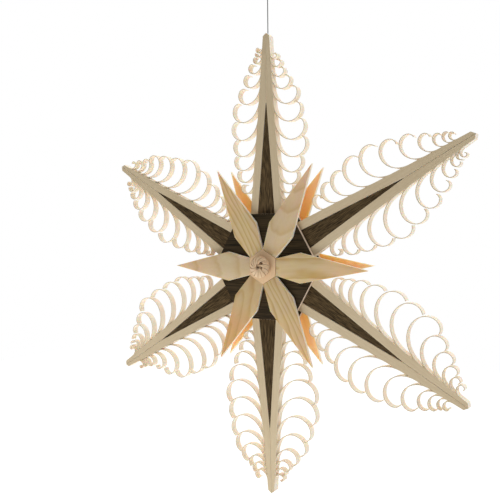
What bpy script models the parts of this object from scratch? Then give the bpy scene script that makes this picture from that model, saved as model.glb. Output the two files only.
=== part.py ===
"""Wood shaving star: six carved rays round a hexagon hub, petals on both faces, hung on a thread.

Metres, +Z up. The origin is the inside top of the hanging loop. The star hangs in the XZ plane
and its front faces -Y. Every piece is glued or tied, with CLEARANCE left between touching faces.
"""
import math
import random
from collections import namedtuple

import bmesh
import bpy
from mathutils import Vector
from mathutils.geometry import intersect_point_line

# Fits
CLEARANCE = 0.0003           # glue line between two pieces, and room round the thread
CURL_GAP = 0.0009            # least room between a shaving and its neighbour

# Rays: two pale strips with a dark wedge glued between them
RAY_COUNT = 6
RAY_REACH = 0.180            # hub centre to the ridge of a ray's tip
BAR_THICKNESS = 0.006
TIP_HALF_WIDTH = 0.00285
TIP_BEVEL = 0.0021           # how far the ridge stands past the tip's shoulders
RAY_HALF_WIDTH = 0.0145      # at the edge of the cover plate
WEDGE_HALF_WIDTH = 0.0075    # at the edge of the cover plate
WEDGE_APEX = 0.1274          # hub centre to the point of the dark wedge
CARVE_DEPTH = 0.0005         # wood that the shavings take off the strip's edge

# Shavings: ribbons cut towards the tip and left standing on the strip
SHAVING_THICKNESS = 0.0006
SHAVING_TURN = math.radians(270)
SMALL_SHAVING_TURN = math.radians(80)   # what a very small ribbon turns further
SHAVING_TIGHTENING = 0.334   # share of its radius that a ribbon loses per radian
SHAVING_STEPS = 9
SHAVING_STEP_GROWTH = 1.2    # above 1, the steps are shorter at the root, where the radius is large
SHAVING_CROWDING = 0.43      # how much closer they stand near the tip and the hub
LEAF_TIP = 0.180             # the shavings' reach swells and fades between these two radii
LEAF_HUB = 0.041
SMALLEST_SHAVING = 0.22      # share of the full reach that the smallest ribbon keeps
EDGE_LAND = 0.0004           # least edge left between two shavings' roots
REACH_SPREAD = 0.06          # errors of hand
TURN_SPREAD = math.radians(22)
TURN_STEP = math.radians(4)  # how a ribbon that would meet its neighbour is shortened
CLEARANCE_TESTS = 6          # points tested along each step of a ribbon
HAND = 6                     # which of many hands made the errors

# Hub: a core that the rays butt on, between two dark cover plates
CORE_APOTHEM = 0.031
PLATE_APOTHEM = 0.0413
PLATE_THICKNESS = 0.0024

# Petals and the cap between them, on both faces
PETAL_REACH = 0.0878
PETAL_SHOULDER = 0.033       # hub centre to the petal's widest place
PETAL_HALF_WIDTH = 0.0116
PETAL_THICKNESS = 0.0024
CAP_APOTHEM = 0.0117
CAP_THICKNESS = 0.0029

# Rosette of small curls on each cap
ROSETTE_RADIUS = 0.0084
ROSETTE_HEIGHT = 0.0075
ROSETTE_CURLS = 13
ROSETTE_POST = 0.0030        # radius of the stub that the curls are cut from
ROSETTE_CURL_THICKNESS = 0.0005
ROSETTE_SWIRL = math.radians(9)
ROSETTE_CURL_WIDTH = 0.72    # share of its pitch that a curl takes
ROSETTE_LAND = 0.08          # frame left round a curl's root, as a share of the post's radius
POST_PROFILE = ((1, 0.08), (1, 0.24), (1, 0.46), (0.75, 0.58))   # shares of its radius and the height
OUTER_CURL = ((0.62, 0.15), (0.89, 0.24), (1, 0.46), (0.88, 0.70), (0.62, 0.84))   # shares of both
INNER_CURL = ((0.42, 0.62), (0.46, 0.82), (0.34, 0.95), (0.14, 0.93))

# Hanging thread, its knot and its loop
THREAD_DIAMETER = 0.0007
THREAD_FREE_LENGTH = 0.034   # from the ridge of the top ray to the knot
THREAD_GRIP = 0.012          # length glued between the two strips of the top ray
KNOT_RADIUS = 0.0012
LOOP_LENGTH = 0.024
LOOP_HALF_WIDTH = 0.0045
LOOP_NECK = 0.55             # share of its width that the loop keeps towards the knot
LOOP_ROUNDNESS = 0.8         # below 1, the loop's top is rounder
LOOP_POINTS = 25
THREAD_STEP = 2.5            # thread diameters between two points of its curve
BORE_SIDES = 8

# How each ray came out by hand: sideways shift at the plate and at the tip (clockwise is positive),
# extra reach, then how its left and right edges were carved.
# An edge has a count of shavings, the reach of its largest one, the radius of the lowest points of its
# first and last ones, a skew that is negative where they crowd towards the tip, and a belly that is
# above 1 where the largest ones sit nearer to the hub.
Ray = namedtuple("Ray", "name root_shift tip_shift extra left right")
Edge = namedtuple("Edge", "count reach first last skew belly")
RAYS = (
    Ray("top", 0.0002, 0.0017, 0.0008,
        Edge(12, 0.0241, 0.1666, 0.0574, -0.30, 1.2), Edge(12, 0.0254, 0.1605, 0.0515, 0.10, 1.4)),
    Ray("upper_right", -0.0010, 0.0028, 0.0045,
        Edge(11, 0.0260, 0.1688, 0.0597, -0.24, 1.2), Edge(12, 0.0270, 0.1692, 0.0546, -0.34, 1.3)),
    Ray("lower_right", -0.0003, -0.0002, 0.0005,
        Edge(12, 0.0326, 0.1673, 0.0542, -0.02, 1.2), Edge(12, 0.0317, 0.1656, 0.0553, -0.26, 1.2)),
    Ray("bottom", -0.0003, -0.0023, -0.0006,
        Edge(11, 0.0334, 0.1631, 0.0565, -0.16, 1.3), Edge(12, 0.0330, 0.1622, 0.0523, -0.19, 1.1)),
    Ray("lower_left", -0.0019, -0.0039, -0.0002,
        Edge(11, 0.0331, 0.1605, 0.0522, -0.09, 1.6), Edge(11, 0.0341, 0.1622, 0.0561, -0.25, 1.2)),
    Ray("upper_left", -0.0014, -0.0020, -0.0026,
        Edge(11, 0.0275, 0.1595, 0.0519, -0.08, 1.2), Edge(12, 0.0300, 0.1631, 0.0494, 0.15, 1.2)),
)

# How each petal came out, clockwise from the one right of the top ray, seen from the front:
# sideways shift of its point and extra reach.
Petal = namedtuple("Petal", "tip_shift extra")
FRONT_PETALS = (
    Petal(-0.0007, 0.0012), Petal(0.0010, 0.0009), Petal(0.0002, -0.0017),
    Petal(-0.0012, -0.0019), Petal(-0.0008, -0.0005), Petal(0.0010, 0.0004),
)
BACK_PETALS = (
    Petal(0.0017, 0.0003), Petal(-0.0019, -0.0010), Petal(-0.0005, -0.0015),
    Petal(0.0002, -0.0018), Petal(0, 0), Petal(0.0039, -0.0014),
)

# Sizes and places that follow from the ones above
TOP_RAY = RAYS[0]
BAR_FACE = BAR_THICKNESS / 2
PLATE_BACK = BAR_FACE + CLEARANCE
PLATE_FACE = PLATE_BACK + PLATE_THICKNESS
PETAL_BACK = PLATE_FACE + CLEARANCE
CAP_FACE = PETAL_BACK + CAP_THICKNESS
KNOT_HEIGHT = -LOOP_LENGTH - CLEARANCE - KNOT_RADIUS
THREAD_TOP = KNOT_HEIGHT - KNOT_RADIUS - CLEARANCE
TIP_HEIGHT = THREAD_TOP - THREAD_FREE_LENGTH
HUB = Vector((-TOP_RAY.tip_shift, 0, TIP_HEIGHT - RAY_REACH - TOP_RAY.extra))
SIDES = (("front", -1, FRONT_PETALS), ("back", 1, BACK_PETALS))


def clear_scene():
    for item in list(bpy.data.objects):
        bpy.data.objects.remove(item, do_unlink=True)


def finish_material(name, colour, roughness):
    material = bpy.data.materials.new(name)
    material.use_nodes = True
    shader = material.node_tree.nodes["Principled BSDF"]
    shader.inputs["Base Color"].default_value = (*colour, 1)
    shader.inputs["Roughness"].default_value = roughness
    shader.inputs["Metallic"].default_value = 0
    material.diffuse_color = (*colour, 1)
    return material


def add_object(name, data, material, parent):
    data.materials.append(material)
    item = bpy.data.objects.new(name, data)
    bpy.context.scene.collection.objects.link(item)
    item.parent = parent
    return item


def add_mesh(name, bm, material, parent):
    bmesh.ops.recalc_face_normals(bm, faces=bm.faces[:])
    mesh = bpy.data.meshes.new(name)
    bm.to_mesh(mesh)
    bm.free()
    return add_object(name, mesh, material, parent)


def add_axis(name, place, parent=None):
    axis = bpy.data.objects.new(name, None)
    bpy.context.scene.collection.objects.link(axis)
    axis.parent = parent
    axis.location = place
    return axis


def board(name, outline, near, far, material, parent):
    """A flat piece of wood: an outline in X and Z, cut through from Y = near to Y = far."""
    bm = bmesh.new()
    face = bm.faces.new([bm.verts.new((x, near, z)) for x, z in outline])
    cut = bmesh.ops.extrude_face_region(bm, geom=[face])
    moved = [v for v in cut["geom"] if isinstance(v, bmesh.types.BMVert)]
    bmesh.ops.translate(bm, vec=(0, far - near, 0), verts=moved)
    return add_mesh(name, bm, material, parent)


def hexagon(apothem, first_corner):
    radius = apothem / math.cos(math.pi / 6)
    corners = [first_corner + k * math.pi / 3 for k in range(6)]
    return [(radius * math.sin(a), radius * math.cos(a)) for a in corners]


def sway(ray, s):
    """Sideways shift of a ray's centre line at radius s."""
    share = (s - PLATE_APOTHEM) / (RAY_REACH - PLATE_APOTHEM)
    return ray.root_shift + (ray.tip_shift - ray.root_shift) * share


def wedge_half(s):
    return WEDGE_HALF_WIDTH * (WEDGE_APEX - s) / (WEDGE_APEX - PLATE_APOTHEM)


def shoulder(ray):
    return RAY_REACH + ray.extra - TIP_BEVEL


def edge_half(ray, s):
    """Half width of a ray at radius s: a straight taper, a little hollow where it is carved."""
    share = (s - PLATE_APOTHEM) / (shoulder(ray) - PLATE_APOTHEM)
    hollow = CARVE_DEPTH * math.sin(math.pi * min(1, max(0, share)))
    return RAY_HALF_WIDTH + (TIP_HALF_WIDTH - RAY_HALF_WIDTH) * share - hollow


def spiral_integral(phi):
    """Running sum of the heading (sin, -cos) along a ribbon whose radius fades as exp(-k phi)."""
    k = SHAVING_TIGHTENING
    fade = math.exp(-k * phi) / (1 + k * k)
    across = -fade * (k * math.sin(phi) + math.cos(phi))
    along = -fade * (math.sin(phi) - k * math.cos(phi))
    return Vector((across, along))


REACH_PER_RADIUS = (spiral_integral(math.pi) - spiral_integral(0)).x
DROP_PER_RADIUS = -(spiral_integral(math.pi / 2) - spiral_integral(0)).y


def ribbon(start, first_radius, lean, turn):
    """The two faces of a shaving, from its root on the strip's edge to its free end."""
    peel = lean + math.sqrt(2 * SHAVING_THICKNESS / first_radius)
    shares = [(k / (SHAVING_STEPS - 1)) ** SHAVING_STEP_GROWTH for k in range(SHAVING_STEPS)]
    angles = [peel + (turn - peel) * share for share in shares]
    scale = first_radius * math.exp(SHAVING_TIGHTENING * lean)
    hollow_face = [start + scale * (spiral_integral(a) - spiral_integral(lean)) for a in angles]
    towards_bar = [-Vector((math.cos(a), math.sin(a))) for a in angles]
    round_face = [p + n * SHAVING_THICKNESS for p, n in zip(hollow_face, towards_bar)]
    return hollow_face, round_face


def distance_to_path(point, path):
    best = math.inf
    for a, b in zip(path, path[1:]):
        foot, share = intersect_point_line(point, a, b)
        foot = a if share < 0 else b if share > 1 else foot
        best = min(best, (Vector(foot[:2]) - point).length)
    return best


def stands_clear(hollow_face, neighbour):
    """Whether a shaving keeps its gap to the one before it, tested at points along its hollow face."""
    pairs = zip(hollow_face, hollow_face[1:])
    tested = [a.lerp(b, k / CLEARANCE_TESTS) for a, b in pairs for k in range(1, CLEARANCE_TESTS + 1)]
    return all(distance_to_path(p, neighbour) > CURL_GAP for p in tested)


def shavings(ray, edge, rng):
    """Outline points of all the shavings on one edge of a ray, from the tip to the hub."""
    lean = math.atan((RAY_HALF_WIDTH - TIP_HALF_WIDTH) / (shoulder(ray) - PLATE_APOTHEM))
    leaf_tip = LEAF_TIP + ray.extra
    free_edge = shoulder(ray) - EDGE_LAND
    outline = []
    neighbour = []
    for k in range(edge.count):
        share = k / (edge.count - 1)
        crowded = share - SHAVING_CROWDING * math.sin(2 * math.pi * share) / (2 * math.pi)
        crowded += edge.skew * share * (1 - share)
        lowest = edge.first + (edge.last - edge.first) * crowded
        depth = (leaf_tip - lowest) / (leaf_tip - LEAF_HUB)
        leaf = max(SMALLEST_SHAVING, math.sin(math.pi * depth ** edge.belly))
        size = edge.reach * leaf * (1 + rng.uniform(-REACH_SPREAD, REACH_SPREAD))
        first_radius = size / REACH_PER_RADIUS
        root = min(lowest + first_radius * DROP_PER_RADIUS, free_edge)
        start = Vector((edge_half(ray, root), root))
        turn = SHAVING_TURN + SMALL_SHAVING_TURN * (1 - leaf) + rng.uniform(-TURN_SPREAD, TURN_SPREAD)
        hollow_face, round_face = ribbon(start, first_radius, lean, turn)
        while neighbour and turn > math.pi / 2 and not stands_clear(hollow_face, neighbour):
            turn -= TURN_STEP
            hollow_face, round_face = ribbon(start, first_radius, lean, turn)
        crotch = Vector((edge_half(ray, round_face[0].y), round_face[0].y))
        outline += [start, *hollow_face, *reversed(round_face[1:]), crotch]
        neighbour = round_face
        free_edge = crotch.y - EDGE_LAND
    return outline


def strip_outline(ray, side, edge, rng):
    """One pale strip with its shavings, in the ray's own frame: across and along."""
    root = CORE_APOTHEM + CLEARANCE
    joint = CLEARANCE / 2
    slope = WEDGE_HALF_WIDTH / (WEDGE_APEX - PLATE_APOTHEM)
    meeting = WEDGE_APEX + (CLEARANCE - joint) / slope
    right = [
        Vector((wedge_half(root) + CLEARANCE, root)),
        Vector((joint, meeting)),
        Vector((joint, RAY_REACH + ray.extra)),
        Vector((TIP_HALF_WIDTH, shoulder(ray))),
        *shavings(ray, edge, rng),
        Vector((edge_half(ray, root), root)),
    ]
    return [(side * p.x + sway(ray, p.y), p.y) for p in right]


def wedge_outline(ray):
    root = CORE_APOTHEM + CLEARANCE
    corners = ((-wedge_half(root), root), (0, WEDGE_APEX), (wedge_half(root), root))
    return [(u + sway(ray, s), s) for u, s in corners]


def thread_bore(parent):
    """Cutter for the groove that grips the thread in the tip of the top ray."""
    depth = THREAD_GRIP + CLEARANCE
    bm = bmesh.new()
    radius = THREAD_DIAMETER / 2 + CLEARANCE
    bmesh.ops.create_cone(
        bm, cap_ends=True, segments=BORE_SIDES, radius1=radius, radius2=radius, depth=2 * depth)
    mesh = bpy.data.meshes.new("thread_bore")
    bm.to_mesh(mesh)
    bm.free()
    cutter = bpy.data.objects.new("thread_bore", mesh)
    bpy.context.scene.collection.objects.link(cutter)
    cutter.parent = parent
    cutter.hide_render = True
    cutter.display_type = "WIRE"
    return cutter


def rays(parent, hub, pale, dark):
    bore = thread_bore(parent)
    rng = random.Random(HAND)
    for k, ray in enumerate(RAYS):
        angle = 2 * math.pi * k / RAY_COUNT
        pieces = []
        for word, side, edge in (("left", -1, ray.left), ("right", 1, ray.right)):
            outline = strip_outline(ray, side, edge, rng)
            name = f"{ray.name}_ray_{word}_strip"
            pieces.append(board(name, outline, -BAR_FACE, BAR_FACE, pale, hub))
        if ray is TOP_RAY:
            for strip in pieces:
                cut = strip.modifiers.new("thread groove", "BOOLEAN")
                cut.operation = "DIFFERENCE"
                cut.solver = "EXACT"
                cut.object = bore
        wedge = board(f"{ray.name}_ray_dark_wedge", wedge_outline(ray), -BAR_FACE, BAR_FACE, dark, hub)
        for piece in (*pieces, wedge):
            piece.rotation_euler = (0, angle, 0)


def petal_outline(petal, count):
    inner = CAP_APOTHEM + CLEARANCE
    inner_half = inner * math.tan(math.pi / count) - CLEARANCE
    reach = PETAL_REACH + petal.extra
    bend = petal.tip_shift * (PETAL_SHOULDER - inner) / (reach - inner)
    return [
        (-inner_half, inner),
        (bend - PETAL_HALF_WIDTH, PETAL_SHOULDER),
        (petal.tip_shift, reach),
        (bend + PETAL_HALF_WIDTH, PETAL_SHOULDER),
        (inner_half, inner),
    ]


def hub_pieces(hub, core_wood, plate_wood, petal_wood, cap_wood):
    corner = math.pi / RAY_COUNT
    board("hub_core", hexagon(CORE_APOTHEM, corner), -BAR_FACE, BAR_FACE, core_wood, hub)
    for word, side, petals in SIDES:
        plate = hexagon(PLATE_APOTHEM, corner)
        board(f"{word}_cover_plate", plate, side * PLATE_BACK, side * PLATE_FACE, plate_wood, hub)
        board(f"{word}_cap", hexagon(CAP_APOTHEM, 0), side * PETAL_BACK, side * CAP_FACE, cap_wood, hub)
        for k, petal in enumerate(petals):
            outline = petal_outline(petal, len(petals))
            face = PETAL_BACK + PETAL_THICKNESS
            piece = board(f"{word}_petal_{k + 1}", outline, side * PETAL_BACK, side * face, petal_wood, hub)
            piece.rotation_euler = (0, 2 * math.pi * (k + 0.5) / len(petals), 0)


def rosette_tiers():
    """Paths of the two rings of curls, as (radius, height, width) from the post to the free end."""
    pitch = 2 * math.pi / ROSETTE_CURLS
    tiers = []
    for shares in (OUTER_CURL, INNER_CURL):
        path = [(a * ROSETTE_RADIUS, b * ROSETTE_HEIGHT) for a, b in shares]
        tiers.append([(r, h, ROSETTE_CURL_WIDTH * pitch * r) for r, h in path])
    return tiers


def rosette(name, side, material, hub):
    """A stub of wood whose sides are shaved up into two rings of inward curls."""
    bm = bmesh.new()
    rings = [(a * ROSETTE_POST, b * ROSETTE_HEIGHT) for a, b in POST_PROFILE]
    base = bmesh.ops.create_circle(bm, cap_ends=True, segments=ROSETTE_CURLS, radius=ROSETTE_POST)["verts"]
    top = base[0].link_faces[0]
    walls = []
    for radius, height in rings:
        grown = bmesh.ops.extrude_face_region(bm, geom=[top])["geom"]
        if walls:
            bmesh.ops.delete(bm, geom=[top], context="FACES_ONLY")
        top = next(g for g in grown if isinstance(g, bmesh.types.BMFace))
        for v in top.verts:
            v.co = Vector((v.co.x, v.co.y, 0)).normalized() * radius + Vector((0, 0, height))
        walls.append({f for e in top.edges for f in e.link_faces} - {top})
    for ring, path in zip((walls[1], walls[3]), rosette_tiers()):
        for wall in ring:
            shave_up(bm, wall, path)
    outwards = Vector((0, 0, 1)).rotation_difference(Vector((0, side, 0))).to_matrix()
    bmesh.ops.rotate(bm, verts=bm.verts[:], matrix=outwards)
    item = add_mesh(name, bm, material, hub)
    item.location = (0, side * (CAP_FACE + CLEARANCE), 0)


def shave_up(bm, wall, path):
    """Extrude one wall of the post along a curling path."""
    centre = wall.calc_center_median()
    turn = math.atan2(centre.y, centre.x)
    bmesh.ops.inset_individual(bm, faces=[wall], thickness=ROSETTE_LAND * ROSETTE_POST)
    before = Vector((centre.xy.length, centre.z))
    for k, (radius, height, width) in enumerate(path):
        here = Vector((radius, height))
        after = Vector(path[k + 1][:2]) if k + 1 < len(path) else here * 2 - before
        heading = (after - before).normalized()
        swirl = turn + ROSETTE_SWIRL * (k + 1)
        outward = Vector((math.cos(swirl), math.sin(swirl), 0))
        tangent = Vector((-math.sin(swirl), math.cos(swirl), 0))
        rise = Vector((-heading.y * outward.x, -heading.y * outward.y, heading.x))
        centre = wall.calc_center_median()
        old_tangent = Vector((-centre.y, centre.x, 0))
        marks = [(v.co - centre).dot(old_tangent) > 0 for v in wall.verts]
        upper = set(sorted(range(4), key=lambda i: wall.verts[i].co.dot(wall_rise(wall)))[2:])
        wall = bmesh.ops.extrude_discrete_faces(bm, faces=[wall])["faces"][0]
        for i, v in enumerate(wall.verts):
            across = tangent * (width / 2 if marks[i] else -width / 2)
            up = rise * (ROSETTE_CURL_THICKNESS / 2 if i in upper else -ROSETTE_CURL_THICKNESS / 2)
            v.co = outward * radius + Vector((0, 0, height)) + across + up
        before = here


def wall_rise(wall):
    """Direction across the thickness of a curl's end face, away from the post's foot."""
    normal = wall.normal
    centre = wall.calc_center_median()
    tangent = Vector((-centre.y, centre.x, 0)).normalized()
    return normal.cross(tangent)


def add_tube(name, points, diameter, material, parent):
    curve = bpy.data.curves.new(name, "CURVE")
    curve.dimensions = "3D"
    curve.bevel_depth = diameter / 2
    curve.bevel_resolution = 2
    curve.use_fill_caps = True
    spline = curve.splines.new("POLY")
    spline.points.add(len(points) - 1)
    for point, place in zip(spline.points, points):
        point.co = (*place, 1)
    return add_object(name, curve, material, parent)


def hanging(material, swing):
    """Thread with its knot on the swinging axis, and the loop that stays on the hook."""
    bottom = TIP_HEIGHT - THREAD_GRIP
    count = math.ceil((THREAD_TOP - bottom) / (THREAD_STEP * THREAD_DIAMETER))
    heights = [THREAD_TOP + (bottom - THREAD_TOP) * k / count for k in range(count + 1)]
    places = [(0, 0, z - KNOT_HEIGHT) for z in heights]
    add_tube("hanging_thread", places, THREAD_DIAMETER, material, swing)

    bm = bmesh.new()
    bmesh.ops.create_uvsphere(bm, u_segments=12, v_segments=8, radius=KNOT_RADIUS)
    knot = add_mesh("loop_knot", bm, material, swing)
    knot.data.shade_smooth()

    half = THREAD_DIAMETER / 2
    foot = KNOT_HEIGHT + KNOT_RADIUS + CLEARANCE
    crown = half
    points = []
    for k in range(LOOP_POINTS):
        share = k / (LOOP_POINTS - 1)
        swell = math.sin(math.pi * share)
        x = -LOOP_HALF_WIDTH * math.sin(2 * math.pi * share) * (LOOP_NECK + (1 - LOOP_NECK) * swell)
        x += (2 * share - 1) * (half + CLEARANCE)
        points.append((x, 0, foot + (crown - foot) * swell ** LOOP_ROUNDNESS))
    add_tube("hanging_loop", points, THREAD_DIAMETER, material, None)


def main():
    clear_scene()
    pale = finish_material("pale_wood", (0.60, 0.47, 0.31), 0.62)
    dark = finish_material("dark_wood", (0.055, 0.036, 0.020), 0.55)
    plate_wood = finish_material("dark_plate_wood", (0.028, 0.019, 0.011), 0.50)
    petal_wood = finish_material("pine", (0.55, 0.41, 0.22), 0.58)
    cap_wood = finish_material("pinkish_wood", (0.55, 0.37, 0.23), 0.60)
    curl_wood = finish_material("shaved_wood", (0.67, 0.48, 0.31), 0.65)
    thread = finish_material("grey_thread", (0.45, 0.45, 0.45), 0.80)
    swing = add_axis("swing_axis", (0, 0, KNOT_HEIGHT))
    turn = add_axis("turn_axis", (0, 0, TIP_HEIGHT - KNOT_HEIGHT), swing)
    hub = add_axis("hub_centre", (HUB.x, 0, HUB.z - TIP_HEIGHT), turn)
    rays(turn, hub, pale, dark)
    hub_pieces(hub, pale, plate_wood, petal_wood, cap_wood)
    for word, side, _ in SIDES:
        rosette(f"{word}_rosette", side, curl_wood, hub)
    hanging(thread, swing)


main()
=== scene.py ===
# %% [markdown]
# # A hanging star of shaved wood
# This lesson dresses a six-rayed wooden star. Each ray is two pale strips with a dark wedge glued
# between them, and the outer edges of the strips are shaved into rows of thin curls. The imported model
# is the fixed frame: every piece made here sits where its solid sits and moves with its body.

# %% Load the frame
import math
import random
from collections import namedtuple

import bmesh
import bpy
from mathutils import Matrix, Vector
from mathutils.geometry import intersect_point_line


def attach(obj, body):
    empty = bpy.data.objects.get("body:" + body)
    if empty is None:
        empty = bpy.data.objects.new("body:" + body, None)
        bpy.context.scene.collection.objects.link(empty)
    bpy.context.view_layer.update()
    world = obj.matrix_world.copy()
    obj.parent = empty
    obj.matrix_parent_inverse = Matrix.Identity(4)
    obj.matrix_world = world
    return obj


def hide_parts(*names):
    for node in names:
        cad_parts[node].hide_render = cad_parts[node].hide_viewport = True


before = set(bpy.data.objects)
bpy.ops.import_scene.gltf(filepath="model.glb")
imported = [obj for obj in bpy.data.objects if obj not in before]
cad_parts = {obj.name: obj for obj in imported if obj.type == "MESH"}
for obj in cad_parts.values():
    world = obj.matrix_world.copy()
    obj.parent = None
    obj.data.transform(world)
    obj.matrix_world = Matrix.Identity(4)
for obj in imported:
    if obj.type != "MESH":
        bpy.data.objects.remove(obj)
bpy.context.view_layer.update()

scene = bpy.context.scene
scene.view_settings.view_transform = "Standard"

# %% [markdown]
# ## The camera
# The star is seen from its right side, a little from above, with a normal lens. A camera could be turned
# by angles, but directions are easier to check: where it looks, what is up, and what follows as right.

# %% Place the camera
HUB = Vector((-0.0017, 0, -0.2418))
EYE_FROM_HUB = Vector((0.2841, -0.4464, 0.0307))
LOOK = Vector((-0.5594, 0.8282, -0.0335)).normalized()
UPWARDS = Vector((-0.0092, 0.0341, 0.9994))
SENSOR_WIDTH = 36
LENS = 48.46


def in_mm(length):
    return round(length * 1000, 1)


camera = bpy.data.objects.new("camera", bpy.data.cameras.new("camera"))
scene.collection.objects.link(camera)
scene.camera = camera
camera.data.sensor_width = SENSOR_WIDTH
camera.data.lens = LENS
to_right = LOOK.cross(UPWARDS).normalized()
turned = Matrix((to_right, to_right.cross(LOOK), -LOOK)).transposed()
camera.matrix_world = Matrix.Translation(HUB + EYE_FROM_HUB) @ turned.to_4x4()
print("camera stands", in_mm(EYE_FROM_HUB.length), "mm from the hub")

# %% [markdown]
# ## Wood grain, built once
# All the wood here differs in colour but not in kind: growth rings, long fibres and slow patches. The
# grain could be drawn anew in every material, but one node group with three outputs serves them all, and
# each material gives it its own values. It reads a point attribute named grain: across the board, along
# it and through it, measured from the tree's pith. Object coordinates would not do, because each ray and
# petal lies at its own angle.

# %% Helpers for node trees
def new_group(name, inputs, outputs):
    """An empty shader group with named float or vector sockets, and its two end nodes."""
    group = bpy.data.node_groups.new(name, "ShaderNodeTree")
    for label, kind, value in inputs:
        socket = group.interface.new_socket(label, in_out="INPUT", socket_type=f"NodeSocket{kind}")
        if kind == "Float":
            socket.default_value = value
    for label, kind in outputs:
        group.interface.new_socket(label, in_out="OUTPUT", socket_type=f"NodeSocket{kind}")
    return group, group.nodes.new("NodeGroupInput"), group.nodes.new("NodeGroupOutput")


def math_node(tree, operation, first, second=None):
    """A Math node whose operands are sockets or plain numbers."""
    node = tree.nodes.new("ShaderNodeMath")
    node.operation = operation
    for slot, operand in zip(node.inputs, (first, second)):
        if isinstance(operand, bpy.types.NodeSocket):
            tree.links.new(operand, slot)
        elif operand is not None:
            slot.default_value = operand
    return node.outputs[0]


def remap(tree, value, low, high, to_low, to_high):
    """A value's range from low to high, stretched to another range and held within it."""
    node = tree.nodes.new("ShaderNodeMapRange")
    tree.links.new(value, node.inputs["Value"])
    for label, number in (("From Min", low), ("From Max", high), ("To Min", to_low), ("To Max", to_high)):
        node.inputs[label].default_value = number
    return node.outputs[0]


def streak_noise(tree, place, stretch, detail):
    """Noise squeezed differently along each axis, for fibres and patches."""
    scaled = tree.nodes.new("ShaderNodeVectorMath")
    scaled.operation = "MULTIPLY"
    scaled.inputs[1].default_value = stretch
    tree.links.new(place, scaled.inputs[0])
    noise = tree.nodes.new("ShaderNodeTexNoise")
    noise.inputs["Scale"].default_value = 1
    noise.inputs["Detail"].default_value = detail
    tree.links.new(scaled.outputs[0], noise.inputs["Vector"])
    return noise.outputs["Fac"]


print("node helpers: groups, math, ranges and streaks")

# %% The wood grain group
RING_SPACING = 0.0025
WAVER = 0.6
FIBRES_PER_METRE = 2600
PATCH_STRETCH = (90, 22, 90)
PATCH_DETAIL = 2
FIBRE_STRETCH = (1, 0.022, 1)
FIBRE_DETAIL = 3
LATE_WOOD_POWER = 3.2
SPRING_START = 0.86
wood_grain, grain_in, grain_out = new_group(
    "wood grain",
    (("Place", "Vector", None), ("Ring Spacing", "Float", RING_SPACING), ("Waver", "Float", WAVER),
     ("Fibres Per Metre", "Float", FIBRES_PER_METRE)),
    (("Rings", "Float"), ("Fibre", "Float"), ("Patches", "Float")))
axes = wood_grain.nodes.new("ShaderNodeSeparateXYZ")
wood_grain.links.new(grain_in.outputs["Place"], axes.inputs[0])
across_squared = math_node(wood_grain, "POWER", axes.outputs["X"], 2)
through_squared = math_node(wood_grain, "POWER", axes.outputs["Z"], 2)
from_pith = math_node(wood_grain, "SQRT", math_node(wood_grain, "ADD", across_squared, through_squared))
patches = streak_noise(wood_grain, grain_in.outputs["Place"], PATCH_STRETCH, PATCH_DETAIL)
rings_grown = math_node(wood_grain, "DIVIDE", from_pith, grain_in.outputs["Ring Spacing"])
wavering = math_node(wood_grain, "MULTIPLY", patches, grain_in.outputs["Waver"])
season = math_node(wood_grain, "FRACT", math_node(wood_grain, "ADD", rings_grown, wavering))
darkening = math_node(wood_grain, "POWER", season, LATE_WOOD_POWER)
spring = remap(wood_grain, season, SPRING_START, 1, 1, 0)
late_wood = math_node(wood_grain, "MULTIPLY", darkening, spring)
spread = wood_grain.nodes.new("ShaderNodeVectorMath")
spread.operation = "SCALE"
wood_grain.links.new(grain_in.outputs["Place"], spread.inputs["Vector"])
wood_grain.links.new(grain_in.outputs["Fibres Per Metre"], spread.inputs["Scale"])
fibre = streak_noise(wood_grain, spread.outputs["Vector"], FIBRE_STRETCH, FIBRE_DETAIL)
for label, value in (("Rings", late_wood), ("Fibre", fibre), ("Patches", patches)):
    wood_grain.links.new(value, grain_out.inputs[label])
print("group:", wood_grain.name, [item.name for item in wood_grain.interface.items_tree])

# %% [markdown]
# ## Finishes
# The star has pale strips with paler shavings, dark wedges and plates, pine petals and a pinkish cap. One
# plain colour for each would look like plastic. A finish here mixes a light and a dark wood colour by
# the rings, the fibres and the patches, and raises the fibres a little as a bump. The colours are what a
# meter would read on the wood itself, apart from painted light. Away from the hub no plate lies behind the
# petals, and light from behind warms them, so a painted glow changes their light colour with the distance
# from the hub. The paler shaved wood is partly fresh-cut wood and partly painted light, put on faces that
# look to the side as if they were lit more.

# %% Helpers for finishes
def new_finish(name):
    """An empty material, with its node tree and its shader."""
    material = bpy.data.materials.new(name)
    material.use_nodes = True
    return material, material.node_tree, material.node_tree.nodes["Principled BSDF"]


def mix_colour(tree, share, first, second):
    """A Mix node for two colours, each a socket or plain red, green and blue."""
    node = tree.nodes.new("ShaderNodeMix")
    node.data_type = "RGBA"
    tree.links.new(share, node.inputs["Factor"])
    slots = [socket for socket in node.inputs if socket.type == "RGBA"]
    for slot, colour in zip(slots, (first, second)):
        if isinstance(colour, bpy.types.NodeSocket):
            tree.links.new(colour, slot)
        else:
            slot.default_value = (*colour, 1)
    return next(socket for socket in node.outputs if socket.type == "RGBA")


def raise_surface(tree, shader, height, strength, distance):
    """A bump that follows a height, linked to the shader's normal."""
    raised = tree.nodes.new("ShaderNodeBump")
    raised.inputs["Strength"].default_value = strength
    raised.inputs["Distance"].default_value = distance
    tree.links.new(height, raised.inputs["Height"])
    tree.links.new(raised.outputs["Normal"], shader.inputs["Normal"])


def distance_from_hub(tree):
    place = tree.nodes.new("ShaderNodeTexCoord")
    reach = tree.nodes.new("ShaderNodeVectorMath")
    reach.operation = "DISTANCE"
    reach.inputs[1].default_value = HUB
    tree.links.new(place.outputs["Object"], reach.inputs[0])
    return reach.outputs["Value"]


print("finish helpers: new finish, mixed colour, bump, distance from the hub")

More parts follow.
